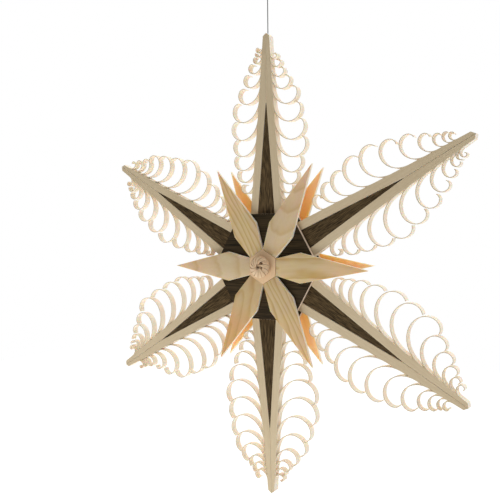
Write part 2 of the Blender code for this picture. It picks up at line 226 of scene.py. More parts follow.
# %% Make a finish from the grain
FIBRE_SPAN = (0.36, 0.64)
MIDDLE_SPAN = (0.3, 0.7)
ROUGHNESS = (0.55, 0.75)
FIBRE_HEIGHT = 0.0002


def wood_finish(name, light, dark, rings, fibres, patches, spacing=RING_SPACING, waver=WAVER,
                density=FIBRES_PER_METRE, bump=0.15, gloss=0.15, outer=None, painted_glow_span=None):
    """A material of one wood: how far rings, fibres and patches pull its light colour to the dark one.

    Where an outer colour is given, the light colour turns into it over a span of distances from the hub:
    a painted glow, as of light that comes through the wood from behind.
    """
    material, tree, shader = new_finish(name)
    place = tree.nodes.new("ShaderNodeAttribute")
    place.attribute_name = "grain"
    grain = tree.nodes.new("ShaderNodeGroup")
    grain.node_tree = wood_grain
    tree.links.new(place.outputs["Vector"], grain.inputs["Place"])
    for label, value in (("Ring Spacing", spacing), ("Waver", waver), ("Fibres Per Metre", density)):
        grain.inputs[label].default_value = value
    fibre = remap(tree, grain.outputs["Fibre"], *FIBRE_SPAN, 0, fibres)
    patch = remap(tree, grain.outputs["Patches"], *MIDDLE_SPAN, 0, patches)
    ring = math_node(tree, "MULTIPLY", grain.outputs["Rings"], rings)
    share = math_node(tree, "ADD", math_node(tree, "ADD", fibre, patch), ring)
    # A painted glow: the light colour warms with the distance from the hub, as if light came through from
    # behind.
    if outer:
        light = mix_colour(tree, remap(tree, distance_from_hub(tree), *painted_glow_span, 0, 1), light, outer)
    tree.links.new(mix_colour(tree, share, light, dark), shader.inputs["Base Color"])
    rough = remap(tree, grain.outputs["Fibre"], *MIDDLE_SPAN, *ROUGHNESS)
    tree.links.new(rough, shader.inputs["Roughness"])
    raise_surface(tree, shader, grain.outputs["Fibre"], bump, FIBRE_HEIGHT)
    shader.inputs["Specular IOR Level"].default_value = gloss
    return material


print("a finish mixes", [item.name for item in wood_grain.interface.items_tree if item.in_out == "OUTPUT"])

# %% Mix the woods
PINE_RINGS = 0.0038
GLOW_PINE_RINGS = 0.0042
# Spans of distance from the hub over which the petals' painted glow of light from behind changes.
TIP_GLOW_SPAN = (0.040, 0.080)
WARM_GLOW_SPAN = (0.034, 0.052)
GLOW_PINE_SPAN = (0.052, 0.088)
pale_wood = wood_finish("pale_wood", (0.66, 0.545, 0.37), (0.52, 0.40, 0.235),
                        rings=0.25, fibres=0.25, patches=0.3)
shaved_wood = wood_finish("shaved_wood", (0.95, 0.86, 0.725), (0.87, 0.725, 0.56),
                          rings=0.15, fibres=0.2, patches=0.3, bump=0.08)
dark_wood = wood_finish("dark_wood", (0.145, 0.095, 0.043), (0.018, 0.011, 0.004),
                        rings=0.2, fibres=0.9, patches=0.2, density=2800, bump=0.3, gloss=0.08)
plate_wood = wood_finish("plate_wood", (0.056, 0.036, 0.016), (0.012, 0.008, 0.003),
                         rings=0.2, fibres=0.85, patches=0.2, density=1600, gloss=0.08)
cut_edge = wood_finish("cut_edge", (0.88, 0.71, 0.55), (0.72, 0.54, 0.38),
                       rings=0.2, fibres=0.3, patches=0.2)
# Each pine's outer colour is a painted glow of light coming through the petal from behind, towards its
# tip.
pine = wood_finish("pine", (0.68, 0.54, 0.33), (0.48, 0.29, 0.07),
                   rings=1, fibres=0.1, patches=0.15, spacing=PINE_RINGS, waver=2.4,
                   outer=(0.76, 0.55, 0.32), painted_glow_span=TIP_GLOW_SPAN)
calm_pine = wood_finish("calm_pine", (0.675, 0.55, 0.36), (0.49, 0.30, 0.11),
                        rings=0.62, fibres=0.1, patches=0.2, spacing=PINE_RINGS, waver=0.9,
                        outer=(0.77, 0.575, 0.38), painted_glow_span=TIP_GLOW_SPAN)
warm_glow_pine = wood_finish("warm_glow_pine", (0.66, 0.52, 0.31), (0.50, 0.29, 0.09),
                        rings=0.7, fibres=0.1, patches=0.3, spacing=PINE_RINGS, waver=1.6,
                        outer=(0.72, 0.455, 0.225), painted_glow_span=WARM_GLOW_SPAN)
# Painted glow pine paints the amber glow of light coming through the back petals from behind onto their
# inner faces; its outer colour paints that glow paler towards the tips.
painted_glow_pine = wood_finish("painted_glow_pine", (1, 0.62, 0.29), (0.80, 0.42, 0.15),
                         rings=0.4, fibres=0.1, patches=0.15, spacing=GLOW_PINE_RINGS, waver=0.9,
                         outer=(0.80, 0.54, 0.37), painted_glow_span=GLOW_PINE_SPAN)
pink_wood = wood_finish("pink_wood", (0.77, 0.545, 0.33), (0.62, 0.415, 0.24),
                        rings=0.3, fibres=0.3, patches=0.2)
rosette_wood = wood_finish("rosette_wood", (0.80, 0.61, 0.41), (0.55, 0.35, 0.19),
                           rings=0.2, fibres=0.45, patches=0.2)
print("finishes:", [material.name for material in bpy.data.materials])

# %% [markdown]
# ## Light in thin wood
# Shavings, petals and the rosette's curls are so thin that light goes into them and comes out again
# somewhere else, warmer than it went in. A Translucent shader could be mixed in, but it suits a single
# sheet of faces. These pieces have a thickness, so they get subsurface scattering: a share of the light,
# the depth it goes, and how far red, green and blue get.

# %% Let light into the thin wood
PINE_DEPTH = 0.003
PINE_GLOW = (1, 0.52, 0.10)
for wood, share, depth, glow in (
        (rosette_wood, 0.15, 0.0006, (1, 0.6, 0.35)),
        (shaved_wood, 0.5, 0.0006, (1, 0.72, 0.48)),
        (pine, 0.6, PINE_DEPTH, PINE_GLOW),
        (calm_pine, 0.6, PINE_DEPTH, PINE_GLOW),
        (warm_glow_pine, 0.6, PINE_DEPTH, PINE_GLOW),
        (painted_glow_pine, 1, 0.008, (1, 0.60, 0.36))):
    shader = wood.node_tree.nodes["Principled BSDF"]
    shader.inputs["Subsurface Weight"].default_value = share
    shader.inputs["Subsurface Scale"].default_value = depth
    shader.inputs["Subsurface Radius"].default_value = glow
    print(wood.name, "lets light", in_mm(depth), "mm in")

# %% [markdown]
# ## The hanging thread
# A thin grey thread comes out of the top ray's ridge and runs straight up to a knot. It is glued
# between the strips for its lowest 12 mm.

# %% The thread finish
PLIES = 2
LAY_LENGTH = 0.0016
PLY_BUMP = 0.6
PLY_HEIGHT = 0.0001
THREAD_ROUGHNESS = 0.8


def thread_finish(name, light, dark):
    """Plies twisted round each other, as a stripe that climbs round the thread's axis."""
    material, tree, shader = new_finish(name)
    place = tree.nodes.new("ShaderNodeTexCoord")
    axes = tree.nodes.new("ShaderNodeSeparateXYZ")
    tree.links.new(place.outputs["Object"], axes.inputs[0])
    round_axis = math_node(tree, "ARCTAN2", axes.outputs["Y"], axes.outputs["X"])
    plied = math_node(tree, "MULTIPLY", round_axis, PLIES)
    climb = math_node(tree, "MULTIPLY", axes.outputs["Z"], 2 * math.pi / LAY_LENGTH)
    stripe = math_node(tree, "SINE", math_node(tree, "ADD", plied, climb))
    share = remap(tree, stripe, -1, 1, 0, 1)
    tree.links.new(mix_colour(tree, share, dark, light), shader.inputs["Base Color"])
    raise_surface(tree, shader, share, PLY_BUMP, PLY_HEIGHT)
    shader.inputs["Roughness"].default_value = THREAD_ROUGHNESS
    return material


grey_thread = thread_finish("grey_thread", (0.10, 0.10, 0.10), (0.05, 0.05, 0.051))
print("finish:", grey_thread.name)

# %% Run the thread
THREAD = 0.0007
CORD_ROUNDNESS = 4
THREAD_TOP = -0.0270
THREAD_END = -0.0730
THREAD_STEPS = 27


def cord_curve(name, points, closed=False):
    """A round cord through a row of points."""
    curve = bpy.data.curves.new(name, "CURVE")
    curve.dimensions = "3D"
    curve.bevel_depth = THREAD / 2
    curve.bevel_resolution = CORD_ROUNDNESS
    curve.use_fill_caps = not closed
    spline = curve.splines.new("POLY")
    spline.points.add(len(points) - 1)
    for point, place in zip(spline.points, points):
        point.co = (*place, 1)
    spline.use_cyclic_u = closed
    curve.materials.append(grey_thread)
    piece = bpy.data.objects.new(name, curve)
    scene.collection.objects.link(piece)
    return piece


heights = [THREAD_TOP + (THREAD_END - THREAD_TOP) * k / THREAD_STEPS for k in range(THREAD_STEPS + 1)]
thread = cord_curve("thread", [(0, 0, height) for height in heights])
print("thread:", in_mm(THREAD_TOP - THREAD_END), "mm")

# %% [markdown]
# ## Loop and knot
# Above the view, the thread ends in an overhand knot, and a loop for the hook stands on it. A small ball
# would do for a knot from far away. The formula of a closed knot with three crossings gives real strands
# that pass over and under each other, on the same kind of curve as the thread.

# %% Tie the loop and the knot
GLUE_LINE = 0.0003
KNOT_RADIUS = 0.0012
KNOT_HEIGHT = -0.0255
KNOT_POINTS = 48
KNOT_DEPTH = 1.2
KNOT_REACH = 3
LOOP_POINTS = 25
LOOP_HALF_WIDTH = 0.0045
LOOP_NECK = 0.55
LOOP_SWELL = 0.45
LOOP_ROUNDNESS = 0.8
LOOP_FOOT = KNOT_HEIGHT + KNOT_RADIUS + GLUE_LINE


def loop_point(share):
    """A point on the loop, from one foot over the top to the other."""
    swell = math.sin(math.pi * share)
    aside = -LOOP_HALF_WIDTH * math.sin(2 * math.pi * share) * (LOOP_NECK + LOOP_SWELL * swell)
    aside += (2 * share - 1) * (THREAD / 2 + GLUE_LINE)
    return aside, 0, LOOP_FOOT + (THREAD / 2 - LOOP_FOOT) * swell ** LOOP_ROUNDNESS


def knot_point(share):
    """A point on the simplest knot there is, which is what an overhand knot pulls up to."""
    t = 2 * math.pi * share
    size = (KNOT_RADIUS - THREAD / 2) / KNOT_REACH
    place = Vector((math.sin(t) + 2 * math.sin(2 * t), -KNOT_DEPTH * math.sin(3 * t),
                    math.cos(t) - 2 * math.cos(2 * t)))
    return place * size + Vector((0, 0, KNOT_HEIGHT))


loop = cord_curve("loop", [loop_point(k / (LOOP_POINTS - 1)) for k in range(LOOP_POINTS)])
knot = cord_curve("knot", [knot_point(k / KNOT_POINTS) for k in range(KNOT_POINTS)], closed=True)
for piece, body, node in ((thread, "thread", "hanging_thread"), (knot, "thread", "loop_knot"),
                          (loop, "loop", "hanging_loop")):
    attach(piece, body)
    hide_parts(node)
print("knot:", in_mm(2 * KNOT_RADIUS), "mm across, loop of", LOOP_POINTS, "points")

# %% [markdown]
# ## Boards with a memory of their tree
# Strips, wedges, plates and petals are all flat boards. One could model each by hand, but an outline
# that is extruded once does for all of them. While a board still lies in its own frame, upright, its
# grain attribute is written: the place of each point relative to the pith of the tree it was cut from.
# Then it is turned to its own angle round the hub.

# %% Cut a board
EDGE_ON = 0.5
Pith = namedtuple("Pith", "aside behind tilt")


def empty_board():
    """An empty mesh whose points have room for their grain."""
    bm = bmesh.new()
    bm.verts.layers.float_vector.new("grain")
    return bm


def thicken(bm, depth):
    """Extrude a flat outline along Y into a closed board."""
    grown = bmesh.ops.extrude_face_region(bm, geom=bm.faces[:])["geom"]
    moved = [item for item in grown if isinstance(item, bmesh.types.BMVert)]
    bmesh.ops.translate(bm, vec=(0, depth, 0), verts=moved)
    bmesh.ops.recalc_face_normals(bm, faces=bm.faces[:])


def new_board(outline, near, far):
    """A closed board: an outline in X and Z, from Y = near through to Y = far."""
    bm = empty_board()
    bm.faces.new([bm.verts.new((x, near, z)) for x, z in outline])
    thicken(bm, far - near)
    return bm


def is_edge(face):
    """Whether a face is part of a board's edge, and not of its front or back."""
    return abs(face.normal.y) < EDGE_ON


print("boards are outlines, extruded once")

# %% Write the grain and place a board
SHARP_ANGLE = math.radians(40)


def write_grain(bm, pith, start):
    """Across, along and through the board, with the pith beside and behind it and not quite parallel."""
    layer = bm.verts.layers.float_vector["grain"]
    for v in bm.verts:
        through = v.co.y + pith.behind + pith.tilt * v.co.z
        v[layer] = (v.co.x + pith.aside, v.co.z + start, through)


def turn_into_place(bm, angle):
    """Turn a finished piece clockwise round the hub, seen from the front, and carry it there."""
    turn = Matrix.Rotation(angle, 4, "Y")
    bmesh.ops.transform(bm, verts=bm.verts[:], matrix=Matrix.Translation(HUB) @ turn)


def add_piece(bm, name, node, materials):
    mesh = bpy.data.meshes.new(name)
    bm.to_mesh(mesh)
    bm.free()
    mesh.set_sharp_from_angle(angle=SHARP_ANGLE)
    for material in materials:
        mesh.materials.append(material)
    piece = bpy.data.objects.new(name, mesh)
    scene.collection.objects.link(piece)
    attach(piece, "star")
    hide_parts(node)
    return piece


print("boards carry their grain as across, along, through")

# %% [markdown]
# ## The rays' own errors of hand
# No two rays are alike on a hand-made star. One ray could be copied six times, but that would look
# machined. Each leans a little sideways at its root and tip, is a little longer or shorter, and has its
# own count of shavings on each edge. An edge's values are its count, the reach of its largest shaving,
# where the first and last ones hang lowest, how they crowd, and how far the largest ones sit towards
# the hub.

# %% List the rays
Ray = namedtuple("Ray", "name root_shift tip_shift extra left right")
Edge = namedtuple("Edge", "count reach first last skew belly")
RAY_ANGLE = math.pi / 3
RAYS = (
    Ray("top", 0.0002, 0.0017, 0.0008,
        Edge(12, 0.0241, 0.1666, 0.0574, -0.30, 1.2), Edge(12, 0.0254, 0.1605, 0.0515, 0.10, 1.4)),
    Ray("upper_right", -0.0010, 0.0028, 0.0045,
        Edge(11, 0.0260, 0.1688, 0.0597, -0.24, 1.2), Edge(12, 0.0270, 0.1692, 0.0546, -0.34, 1.3)),
    Ray("lower_right", -0.0003, -0.0002, 0.0005,
        Edge(12, 0.0326, 0.1673, 0.0542, -0.02, 1.2), Edge(12, 0.0317, 0.1656, 0.0553, -0.26, 1.2)),
    Ray("bottom", -0.0003, -0.0023, -0.0006,
        Edge(11, 0.0334, 0.1631, 0.0565, -0.16, 1.3), Edge(12, 0.0330, 0.1622, 0.0523, -0.19, 1.1)),
    Ray("lower_left", -0.0019, -0.0039, -0.0002,
        Edge(11, 0.0331, 0.1605, 0.0522, -0.09, 1.6), Edge(11, 0.0341, 0.1622, 0.0561, -0.25, 1.2)),
    Ray("upper_left", -0.0014, -0.0020, -0.0026,
        Edge(11, 0.0275, 0.1595, 0.0519, -0.08, 1.2), Edge(12, 0.0300, 0.1631, 0.0494, 0.15, 1.2)),
)
print("rays:", [ray.name for ray in RAYS])

# %% Measure a ray along its length
RAY_REACH = 0.180
PLATE_APOTHEM = 0.0413
TIP_HALF_WIDTH = 0.00285
TIP_BEVEL = 0.0021
RAY_HALF_WIDTH = 0.0145
WEDGE_HALF_WIDTH = 0.0075
WEDGE_APEX = 0.1274
CARVE_DEPTH = 0.0005


def sway(ray, s):
    share = (s - PLATE_APOTHEM) / (RAY_REACH - PLATE_APOTHEM)
    return ray.root_shift + (ray.tip_shift - ray.root_shift) * share


def wedge_half(s):
    return WEDGE_HALF_WIDTH * (WEDGE_APEX - s) / (WEDGE_APEX - PLATE_APOTHEM)


def shoulder(ray):
    return RAY_REACH + ray.extra - TIP_BEVEL


def edge_half(ray, s):
    """Half width of a ray: a straight taper, a little hollow where the shavings were taken off."""
    share = (s - PLATE_APOTHEM) / (shoulder(ray) - PLATE_APOTHEM)
    hollow = CARVE_DEPTH * math.sin(math.pi * min(1, max(0, share)))
    return RAY_HALF_WIDTH + (TIP_HALF_WIDTH - RAY_HALF_WIDTH) * share - hollow


half_way = (PLATE_APOTHEM + RAY_REACH) / 2
print("top ray is", in_mm(2 * edge_half(RAYS[0], half_way)), "mm wide half way out")

# %% [markdown]
# ## How a shaving curls
# A knife that lifts a ribbon off the edge bends it more and more as it goes, so the ribbon is a spiral
# whose radius shrinks by the same share for every degree that it turns. It leaves the wood along the edge,
# swings out, and ends inside its own curl. A ribbon that would touch the one above it was turned less.
# A spiral could be drawn with a curve object, but its closed formula gives every point at once.

# %% The spiral of a shaving
RIBBON = 0.0006
TIGHTENING = 0.334


def spiral(phi):
    fade = math.exp(-TIGHTENING * phi) / (1 + TIGHTENING * TIGHTENING)
    across = -fade * (TIGHTENING * math.sin(phi) + math.cos(phi))
    along = -fade * (math.sin(phi) - TIGHTENING * math.cos(phi))
    return Vector((across, along))


def ribbon(start, radius, lean, turn, steps, growth):
    """Hollow and round side of a shaving, from where it leaves the edge to its free end."""
    peel = lean + math.sqrt(2 * RIBBON / radius)
    angles = [peel + (turn - peel) * (k / (steps - 1)) ** growth for k in range(steps)]
    scale = radius * math.exp(TIGHTENING * lean)
    hollow = [start + scale * (spiral(a) - spiral(lean)) for a in angles]
    return hollow, [p - Vector((math.cos(a), math.sin(a))) * RIBBON for p, a in zip(hollow, angles)]


REACH_PER_RADIUS = (spiral(math.pi) - spiral(0)).x
DROP_PER_RADIUS = -(spiral(math.pi / 2) - spiral(0)).y
print("a shaving reaches", round(REACH_PER_RADIUS, 2), "times its radius out")

# %% Keep shavings clear of each other
CURL_GAP = 0.0009
TESTS = 6


def distance_to_path(point, path):
    best = math.inf
    for a, b in zip(path, path[1:]):
        foot, share = intersect_point_line(point, a, b)
        foot = a if share < 0 else b if share > 1 else foot
        best = min(best, (Vector(foot[:2]) - point).length)
    return best


def stands_clear(hollow, neighbour):
    pairs = zip(hollow, hollow[1:])
    tested = [a.lerp(b, k / TESTS) for a, b in pairs for k in range(1, TESTS + 1)]
    return all(distance_to_path(p, neighbour) > CURL_GAP for p in tested)


print("shavings stay", in_mm(CURL_GAP), "mm apart")

# %% Lay out the shavings
FULL_TURN = math.radians(270)
SMALL_TURN = math.radians(80)
TURN_SPREAD = math.radians(22)
TURN_STEP = math.radians(4)
LEAST_TURN = math.pi / 2
REACH_SPREAD = 0.06
COARSE_STEPS = 9
COARSE_GROWTH = 1.2
EDGE_LAND = 0.0004
CROWDING = 0.43
LEAF_TIP = 0.180
LEAF_HUB = 0.041
SMALLEST = 0.22
SHAVING_SEED = 6
Shaving = namedtuple("Shaving", "start crotch radius lean turn")


def lowest_point(edge, k):
    """Where shaving k of an edge hangs lowest: they crowd at both ends, and more at one of them."""
    share = k / (edge.count - 1)
    crowded = share - CROWDING * math.sin(2 * math.pi * share) / (2 * math.pi)
    crowded += edge.skew * share * (1 - share)
    return edge.first + (edge.last - edge.first) * crowded


def shavings(ray, edge, rng):
    """The shavings of one edge from the tip inwards, swelling and shrinking like a leaf."""
    lean = math.atan((RAY_HALF_WIDTH - TIP_HALF_WIDTH) / (shoulder(ray) - PLATE_APOTHEM))
    leaf_tip = LEAF_TIP + ray.extra
    free_edge = shoulder(ray) - EDGE_LAND
    laid = []
    neighbour = []
    for k in range(edge.count):
        lowest = lowest_point(edge, k)
        depth = (leaf_tip - lowest) / (leaf_tip - LEAF_HUB)
        leaf = max(SMALLEST, math.sin(math.pi * depth ** edge.belly))
        radius = edge.reach * leaf * (1 + rng.uniform(-REACH_SPREAD, REACH_SPREAD)) / REACH_PER_RADIUS
        root = min(lowest + radius * DROP_PER_RADIUS, free_edge)
        start = Vector((edge_half(ray, root), root))
        turn = FULL_TURN + SMALL_TURN * (1 - leaf) + rng.uniform(-TURN_SPREAD, TURN_SPREAD)
        hollow, rounded = ribbon(start, radius, lean, turn, COARSE_STEPS, COARSE_GROWTH)
        while neighbour and turn > LEAST_TURN and not stands_clear(hollow, neighbour):
            turn -= TURN_STEP
            hollow, rounded = ribbon(start, radius, lean, turn, COARSE_STEPS, COARSE_GROWTH)
        crotch = Vector((edge_half(ray, rounded[0].y), rounded[0].y))
        laid.append(Shaving(start, crotch, radius, lean, turn))
        neighbour = rounded
        free_edge = crotch.y - EDGE_LAND
    return laid


rng = random.Random(SHAVING_SEED)
ALL_SHAVINGS = {(ray.name, word): shavings(ray, getattr(ray, word), rng)
                for ray in RAYS for word in ("left", "right")}
print("shavings:", sum(len(laid) for laid in ALL_SHAVINGS.values()))

# %% [markdown]
# ## The pale strips
# Each strip is a tapered bar, and each shaving grows out of a small face on its edge, which is extruded
# step by step along the spiral. Loose ribbons stuck to a bar would be easier, but this keeps the ribbon
# and the bar one closed skin, as they are one piece of wood. The ribbon thins towards its free end and
# drifts a little to the front or the back.

# %% Draw a strip with the roots of its shavings
BAR_FACE = 0.003
CORE_APOTHEM = 0.031
RAY_ROOT = CORE_APOTHEM + GLUE_LINE
FINE_STEPS = 24
FINE_GROWTH = 1.1
ROOT_POINTS = 3


def fine_ribbon(shaving):
    return ribbon(shaving.start, shaving.radius, shaving.lean, shaving.turn, FINE_STEPS, FINE_GROWTH)


def root_outline(shaving):
    """The wedge of wood in which a ribbon leaves the edge, up to the face that it is extruded from."""
    hollow, _ = fine_ribbon(shaving)
    scale = shaving.radius * math.exp(TIGHTENING * shaving.lean)
    peel = math.sqrt(2 * RIBBON / shaving.radius)
    lifts = [shaving.lean + peel * k / ROOT_POINTS for k in range(1, ROOT_POINTS)]
    lifted = [shaving.start + scale * (spiral(a) - spiral(shaving.lean)) for a in lifts]
    return [shaving.start, *lifted, hollow[0], shaving.crotch]


def strip_outline(ray, side, laid):
    joint = GLUE_LINE / 2
    slope = WEDGE_HALF_WIDTH / (WEDGE_APEX - PLATE_APOTHEM)
    right = [
        Vector((wedge_half(RAY_ROOT) + GLUE_LINE, RAY_ROOT)),
        Vector((joint, WEDGE_APEX + (GLUE_LINE - joint) / slope)),
        Vector((joint, RAY_REACH + ray.extra)),
        Vector((TIP_HALF_WIDTH, shoulder(ray))),
        *[p for shaving in laid for p in root_outline(shaving)],
        Vector((edge_half(ray, RAY_ROOT), RAY_ROOT)),
    ]
    return [(side * p.x + sway(ray, p.y), p.y) for p in right]


outlined = strip_outline(RAYS[0], 1, ALL_SHAVINGS["top", "right"])
print("the top ray's right strip has an outline of", len(outlined), "points")

# %% Raise a shaving
END_THICKNESS = 0.8
THINNING = 4
DRIFT = 0.0006
DRIFT_SEED = 11
NARROWING = 0.06
PALE = 0
SHAVED_AND_LIT = 1
twist = random.Random(DRIFT_SEED)


def raise_shaving(bm, wall, shaving, side, shift):
    """Extrude a shaving's root face along its spiral, with the grain running along the ribbon."""
    layer = bm.verts.layers.float_vector["grain"]
    hollow, rounded = fine_ribbon(shaving)
    middle = wall.calc_center_median()
    outside = [side * (v.co.x - middle.x) > 0 for v in wall.verts]
    front = [v.co.y < 0 for v in wall.verts]
    old_grain = [v[layer].copy() for v in wall.verts]
    drift = twist.uniform(-DRIFT, DRIFT)
    wall.material_index = SHAVED_AND_LIT
    run = 0
    for k in range(1, FINE_STEPS):
        share = k / (FINE_STEPS - 1)
        run += (hollow[k] - hollow[k - 1]).length
        inner = hollow[k]
        outer = inner.lerp(rounded[k], END_THICKNESS + (1 - END_THICKNESS) * (1 - share) ** THINNING)
        wall = bmesh.ops.extrude_discrete_faces(bm, faces=[wall])["faces"][0]
        depth = BAR_FACE * (1 - NARROWING * share)
        for i, v in enumerate(wall.verts):
            place = inner if outside[i] else outer
            y = (-depth if front[i] else depth) + drift * share * share
            v.co = Vector((side * place.x + shift(place.y), y, place.y))
            v[layer] = old_grain[i] - Vector((0, run, 0))


print("a shaving is extruded in", FINE_STEPS - 1, "steps")

# %% Shave the strips
STRIP_PITH = Pith(0.05, 0.02, 0.1)
NEXT_STRIP = 0.4
RIBBON_FACE = 0.7


def strip(ray, number, word, side):
    laid = ALL_SHAVINGS[ray.name, word]
    bm = new_board(strip_outline(ray, side, laid), -BAR_FACE, BAR_FACE)
    write_grain(bm, STRIP_PITH._replace(aside=side * STRIP_PITH.aside), NEXT_STRIP * number)
    walls = [(face.calc_center_median(), face) for face in bm.faces if is_edge(face)]
    for shaving in laid:
        ends = [Vector((side * p.x + sway(ray, p.y), 0, p.y)) for p in root_outline(shaving)[-2:]]
        middle = (ends[0] + ends[1]) / 2
        wall = min(walls, key=lambda pair: (pair[0] - middle).length)[1]
        raise_shaving(bm, wall, shaving, side, lambda s: sway(ray, s))
    # Faces that look to the side, the ribbons' wide faces and the bar's carved walls, get the paler shaved
    # wood: partly fresh-cut wood, partly painted light, as if lit by the bright background. Faces that
    # look to the front or back keep the pale wood, so the ribbons' narrow edges show a darker line of
    # painted shade.
    for face in bm.faces:
        face.normal_update()
        face.smooth = face.material_index == SHAVED_AND_LIT
        face.material_index = SHAVED_AND_LIT if abs(face.normal.y) < RIBBON_FACE else PALE
    turn_into_place(bm, number * RAY_ANGLE)
    name = f"{ray.name}_ray_{word}_strip"
    return add_piece(bm, f"shaved_{name}", name, (pale_wood, shaved_wood))


for number, ray in enumerate(RAYS):
    made = [strip(ray, number, word, side) for word, side in (("left", -1), ("right", 1))]
    print(ray.name, "strips:", sum(len(piece.data.polygons) for piece in made), "faces")

# %% [markdown]
# ## Dark wedges
# A long dark triangle fills the space between the two strips of each ray. It is a board of three corners,
# with the fibres running along the ray. A real edge is never knife-sharp, and a bevel of a fraction of a
# millimetre is enough to catch a thin line of light. A Bevel modifier could make it, but when the mesh
# itself is bevelled, the grain can be written on every point after that.

# %% Glue in the wedges
BOARD_BEVEL = 0.00012
WEDGE_PITH = Pith(0.03, 0.015, 0.05)
NEXT_WEDGE = 0.31


def soften(bm):
    bmesh.ops.bevel(bm, geom=bm.edges[:], offset=BOARD_BEVEL, segments=2, profile=0.5, affect="EDGES",
                    material=-1, clamp_overlap=True)


def wedge(ray, number):
    corners = ((-wedge_half(RAY_ROOT), RAY_ROOT), (0, WEDGE_APEX), (wedge_half(RAY_ROOT), RAY_ROOT))
    bm = new_board([(u + sway(ray, s), s) for u, s in corners], -BAR_FACE, BAR_FACE)
    soften(bm)
    write_grain(bm, WEDGE_PITH, NEXT_WEDGE * number)
    turn_into_place(bm, number * RAY_ANGLE)
    name = f"{ray.name}_ray_dark_wedge"
    return add_piece(bm, f"fitted_{name}", name, (dark_wood,))


wedges = [wedge(ray, number) for number, ray in enumerate(RAYS)]
print("wedges:", len(wedges))

# %% [markdown]
# ## Hub: core, cover plates and caps
# The rays butt on a hexagon core. A dark hexagon plate covers the joint on each face, with its grain lying
# across, and its edge shows the pale wood under the dark face. A small hexagon cap sits in the middle of
# the petals. Each could be an outline of six typed corners, but a six-sided circle from bmesh gives them.

# %% Cut the hexagons
PLATE_BACK = 0.0033
PLATE_FACE = 0.0057
PETAL_BACK = 0.0060
CAP_FACE = 0.0089
CAP_APOTHEM = 0.0117
HALF_SIDE_ANGLE = math.pi / 6
QUARTER_TURN = math.pi / 2
CORE_PITH = Pith(0.04, 0.02, 0.1)
PLATE_PITH = Pith(0.03, 0.01, 0.02)
CAP_PITH = Pith(0.02, 0.008, 0.2)
HEXAGON_START = 0.13
FACES = (("front", -1), ("back", 1))


def hexagon_board(apothem, first_corner, near, far, pith, turn=0):
    """A six-sided board, with a material for its faces and one for its edge."""
    radius = apothem / math.cos(HALF_SIDE_ANGLE)
    bm = empty_board()
    ring = bmesh.ops.create_circle(bm, cap_ends=True, segments=6, radius=radius)["verts"]
    stand = Matrix.Rotation(QUARTER_TURN, 4, "X") @ Matrix.Rotation(first_corner, 4, "Z")
    bmesh.ops.transform(bm, verts=ring, matrix=Matrix.Translation((0, near, 0)) @ stand)
    thicken(bm, far - near)
    for face in bm.faces:
        face.material_index = int(is_edge(face))
    soften(bm)
    write_grain(bm, pith, HEXAGON_START)
    turn_into_place(bm, turn)
    return bm


bm = hexagon_board(CORE_APOTHEM, HALF_SIDE_ANGLE, -BAR_FACE, BAR_FACE, CORE_PITH)
add_piece(bm, "core_block", "hub_core", (pale_wood, pale_wood))
for word, side in FACES:
    bm = hexagon_board(PLATE_APOTHEM, 0, side * PLATE_BACK, side * PLATE_FACE, PLATE_PITH,
                       turn=QUARTER_TURN)
    add_piece(bm, f"{word}_plate_board", f"{word}_cover_plate", (plate_wood, cut_edge))
    bm = hexagon_board(CAP_APOTHEM, 0, side * PETAL_BACK, side * CAP_FACE, CAP_PITH)
    add_piece(bm, f"{word}_cap_board", f"{word}_cap", (pink_wood, pink_wood))
print("hexagons: core, two plates, two caps")

# %% [markdown]
# ## Petals
# Twelve kite-shaped boards of pine, six on each face. Some were cut where the rings run straight along,
# others flat across the rings, which gives arcs. The lines could be drawn on each petal, but both kinds
# come from the same rings: only the pith's place behind the board and its tilt differ, and these are given
# for each petal. Calm pine has fainter rings, and warm glow pine has a painted amber glow in its outer
# half.
# The back petals' inner faces get a painted amber glow, as of light coming through them from behind, and
# every cut edge is painted pale as a highlight.

# %% List the petals
Petal = namedtuple("Petal", "tip_shift extra pith wood", defaults=(pine,))
FRONT_PETALS = (
    Petal(-0.0007, 0.0012, Pith(0.003, 0.050, -0.20), calm_pine),
    Petal(0.0010, 0.0009, Pith(0.000, 0.0194, 0.03)),
    Petal(0.0002, -0.0017, Pith(-0.028, 0.012, 0.08)),
    Petal(-0.0012, -0.0019, Pith(-0.010, 0.040, -0.16), warm_glow_pine),
    Petal(-0.0008, -0.0005, Pith(0.002, 0.052, -0.18), calm_pine),
    Petal(0.0010, 0.0004, Pith(-0.030, 0.012, 0.06)),
)
BACK_PETALS = (
    Petal(0.0017, 0.0003, Pith(0.020, 0.012, 0.10)),
    Petal(-0.0019, -0.0010, Pith(0.004, 0.022, 0.45)),
    Petal(-0.0005, -0.0015, Pith(-0.018, 0.014, 0.15)),
    Petal(0.0002, -0.0018, Pith(0.002, 0.026, 0.60)),
    Petal(0, 0, Pith(0.024, 0.012, 0.12)),
    Petal(0.0039, -0.0014, Pith(-0.022, 0.012, 0.10)),
)
print("petals:", len(FRONT_PETALS) + len(BACK_PETALS))

# %% Glue on the petals
PETAL_FACE = 0.0084
PETAL_REACH = 0.0878
PETAL_SHOULDER = 0.033
PETAL_HALF_WIDTH = 0.0116
NEXT_PETAL = 0.23
OTHER_FACE = 0.05
FACE_WOOD = 0
INNER_GLOW = 1
EDGE_HIGHLIGHT = 2


